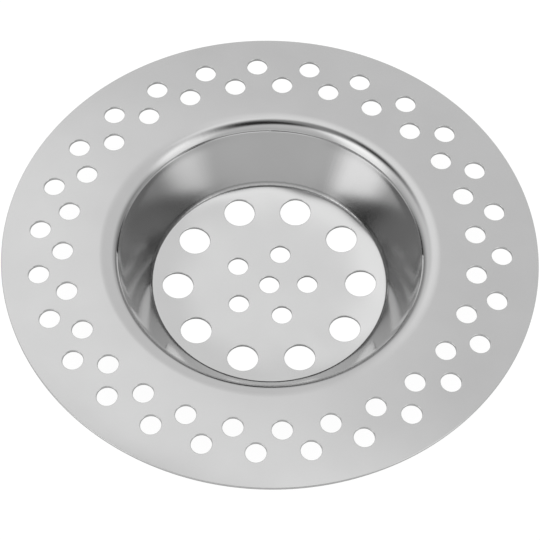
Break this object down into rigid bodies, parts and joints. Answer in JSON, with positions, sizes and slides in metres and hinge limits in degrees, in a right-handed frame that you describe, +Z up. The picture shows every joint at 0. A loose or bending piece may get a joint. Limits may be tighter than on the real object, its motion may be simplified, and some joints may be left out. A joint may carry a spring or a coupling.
{
  "type": "drain strainer",
  "caption": "Round perforated drain strainer: a shallow tapered bowl with a wide, slightly domed flange, pressed from one thin stainless sheet.",
  "frame": {"origin": "centre of the underside of the floor, on whose flat middle the strainer stands", "axes": "+Z up, along the axis of the round bowl, out of its mouth; +X through a hole of the flange's outer row"},
  "size_m": [0.075, 0.075, 0.0088],
  "materials": {
    "satin_steel": "satin"
  },
  "bodies": {
    "root": {"strainer": "satin_steel"}
  },
  "joints": []
}
